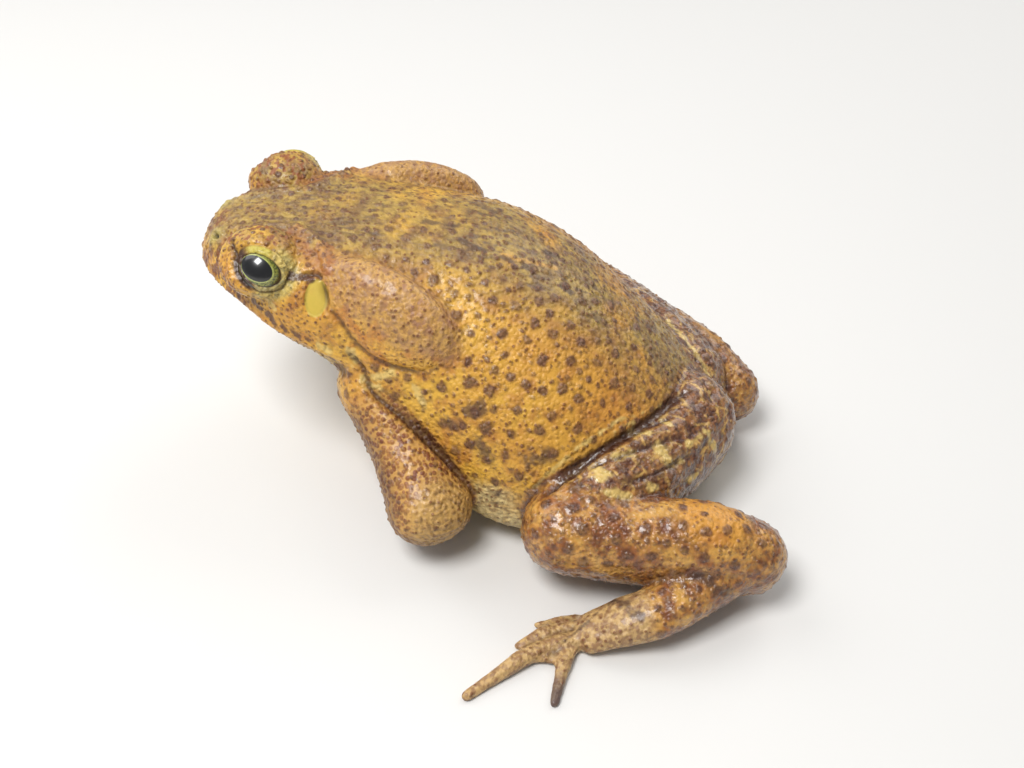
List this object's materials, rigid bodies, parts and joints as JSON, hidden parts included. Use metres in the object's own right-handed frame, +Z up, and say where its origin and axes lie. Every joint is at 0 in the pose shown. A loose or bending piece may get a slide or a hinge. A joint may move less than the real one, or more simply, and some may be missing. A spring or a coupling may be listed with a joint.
{
  "type": "cane toad",
  "caption": "Life-size still model of a cane toad at rest, body low on folded legs, with eyelids, eardrums, venom glands, webbed hind feet and warty skin.",
  "frame": {"origin": "on the floor, under the middle of the bounding box", "axes": "+Z up, -Y the way the snout points, +X the toad's own left side; the head is turned 3 degrees to that side's front"},
  "size_m": [0.152, 0.1494, 0.0665],
  "materials": {
    "back_skin": "ochre painted skin with rows of low warts, satin",
    "gland_skin": "brown painted skin with fine pores, satin",
    "eardrum_skin": "smooth yellow painted skin, satin",
    "arm_skin": "reddish brown painted skin, granular, satin",
    "leg_skin": "brown painted skin blotched with yellow, damp sheen",
    "foot_skin": "tan painted skin, smooth, satin",
    "eye": "clear cast eye over a dark pupil, polished"
  },
  "bodies": {
    "root": {"eye_left": "eye", "eye_right": "eye", "foot_left": "foot_skin", "foot_right": "foot_skin", "forearm_left": "arm_skin", "forearm_right": "arm_skin", "hand_left": "foot_skin", "hand_right": "foot_skin", "head": "back_skin", "lower_jaw": "back_skin", "parotoid_left": "gland_skin", "parotoid_right": "gland_skin", "shank_left": "leg_skin", "shank_right": "leg_skin", "tarsus_left": "leg_skin", "tarsus_right": "leg_skin", "thigh_left": "leg_skin", "thigh_right": "leg_skin", "torso": "back_skin", "tympanum_left": "eardrum_skin", "tympanum_right": "eardrum_skin", "upper_arm_left": "arm_skin", "upper_arm_right": "arm_skin"}
  },
  "joints": []
}
